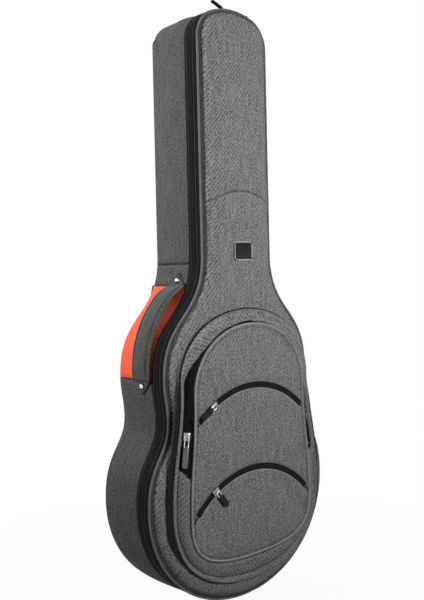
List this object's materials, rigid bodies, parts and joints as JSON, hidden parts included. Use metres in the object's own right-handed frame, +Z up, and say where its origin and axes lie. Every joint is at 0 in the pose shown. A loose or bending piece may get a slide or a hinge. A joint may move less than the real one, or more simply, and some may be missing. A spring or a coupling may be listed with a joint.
{
  "type": "padded guitar gig bag",
  "caption": "Upright padded soft case for an acoustic guitar, with a zipped lid, an arched front pocket, a side carry handle and shoulder straps.",
  "frame": {"origin": "middle of the footprint of the whole bag, on the floor under its feet", "axes": "+Z up along the neck, -Y the front with the pocket, -X the side with the carry handle"},
  "size_m": [0.4365, 0.2124, 1.1177],
  "materials": {
    "grey_front": "melange woven fabric, light",
    "grey_side": "melange woven fabric",
    "coral": "plain woven fabric",
    "piping": "fabric-covered cord",
    "zip": "nylon tape and coil",
    "padding": "foam in fabric",
    "lining": "soft lining",
    "webbing": "ribbed webbing",
    "buckle": "moulded",
    "rubber": "moulded",
    "pull_tab": "moulded",
    "metal": "plated",
    "slider_metal": "black enamel",
    "patch": "moulded"
  },
  "bodies": {
    "shell": {"back_panel": "grey_side", "back_foam": "padding", "back_lining": "lining", "gusset_head": "grey_side", "handle_top_panel": "grey_side", "handle_panel": "coral", "gusset_base": "grey_side", "side_foam": "padding", "side_lining": "lining", "zip_tape_back": "zip", "zip_coil_back": "zip", "hinge_strip_back": "grey_side", "rubber_feet": "rubber", "handle_strap": "grey_side", "handle_tabs": "grey_side", "handle_rivets": "metal", "shoulder_strap_left": "grey_side", "shoulder_strap_right": "grey_side", "strap_webbing": "webbing", "strap_buckles": "buckle", "strap_yoke": "grey_side", "strap_anchors": "grey_side", "hang_loop": "webbing", "neck_rest": "padding", "neck_strap": "webbing", "end_pad": "padding"},
    "lid": {"front_panel_upper": "grey_front", "front_panel_lower": "grey_front", "front_foam": "padding", "front_lining": "lining", "front_piping": "piping", "zip_tape_front": "zip", "zip_coil_front": "zip", "hinge_strip_front": "grey_side", "front_patch": "patch", "pocket_gusset": "grey_front", "pocket_zip_back": "zip", "pocket_face_lower": "grey_front", "pocket_piping_lower": "piping", "lower_pocket_zip": "zip"},
    "pocket_flap": {"pocket_face_upper": "grey_front", "pocket_piping_upper": "piping", "pocket_zip_front": "zip", "upper_pocket_zip": "zip"},
    "left_slider": {"main_slider_left": "slider_metal"},
    "left_puller": {"main_ring_left": "metal", "main_tab_left": "pull_tab"},
    "right_slider": {"main_slider_right": "slider_metal"},
    "right_puller": {"main_ring_right": "metal", "main_tab_right": "pull_tab"},
    "big_slider": {"pocket_slider": "slider_metal"},
    "big_puller": {"pocket_ring": "metal", "pocket_tab": "pull_tab"},
    "flap_slider": {"upper_slider": "slider_metal"},
    "flap_puller": {"upper_ring": "metal", "upper_tab": "pull_tab"},
    "low_slider": {"lower_slider": "slider_metal"},
    "low_puller": {"lower_ring": "metal", "lower_tab": "pull_tab"}
  },
  "joints": [
    {"name": "lid_swing", "type": "hinge", "parent": "shell", "child": "lid", "pos_m": [0.2175, -0.04453, 0.206], "axis": [0, 0, 1], "range_deg": [0, 110]},
    {"name": "left_slider_run", "type": "hinge", "parent": "shell", "child": "left_slider", "pos_m": [0, -0.04453, 0.958], "axis": [0, -1, 0], "range_deg": [0, 17]},
    {"name": "left_puller_swing", "type": "hinge", "parent": "left_slider", "child": "left_puller", "pos_m": [0.00255, -0.04453, 1.10393], "axis": [0, 1, 0], "range_deg": [-20, 80]},
    {"name": "right_slider_run", "type": "hinge", "parent": "shell", "child": "right_slider", "pos_m": [0, -0.04453, 0.958], "axis": [0, 1, 0], "range_deg": [0, 6]},
    {"name": "right_puller_swing", "type": "hinge", "parent": "right_slider", "child": "right_puller", "pos_m": [0.02534, -0.04453, 1.10173], "axis": [0, -1, 0], "range_deg": [-10, 90]},
    {"name": "flap_fold", "type": "hinge", "parent": "lid", "child": "pocket_flap", "pos_m": [0, -0.10093, 0.272], "axis": [1, 0, 0], "range_deg": [0, 75]},
    {"name": "big_slider_run", "type": "slide", "parent": "lid", "child": "big_slider", "axis": [-0.1328, 0, -0.9911], "range_m": [0, 0.02]},
    {"name": "big_puller_swing", "type": "hinge", "parent": "big_slider", "child": "big_puller", "pos_m": [-0.15482, -0.09521, 0.33241], "axis": [-0.8467, 0.5198, 0.1134], "range_deg": [0, 100]},
    {"name": "flap_slider_run", "type": "hinge", "parent": "pocket_flap", "child": "flap_slider", "pos_m": [0, -0.06583, 0.221], "axis": [0, 1, 0], "range_deg": [-4, 66]},
    {"name": "flap_puller_swing", "type": "hinge", "parent": "flap_slider", "child": "flap_puller", "pos_m": [-0.09477, -0.10378, 0.37872], "axis": [-0.515, 0, 0.8572], "range_deg": [0, 100]},
    {"name": "low_slider_run", "type": "hinge", "parent": "lid", "child": "low_slider", "pos_m": [0, -0.06583, 0.069], "axis": [0, 1, 0], "range_deg": [-8, 70]},
    {"name": "low_puller_swing", "type": "hinge", "parent": "low_slider", "child": "low_puller", "pos_m": [-0.09477, -0.10378, 0.22672], "axis": [-0.7771, 0, -0.6293], "range_deg": [0, 100]}
  ]
}
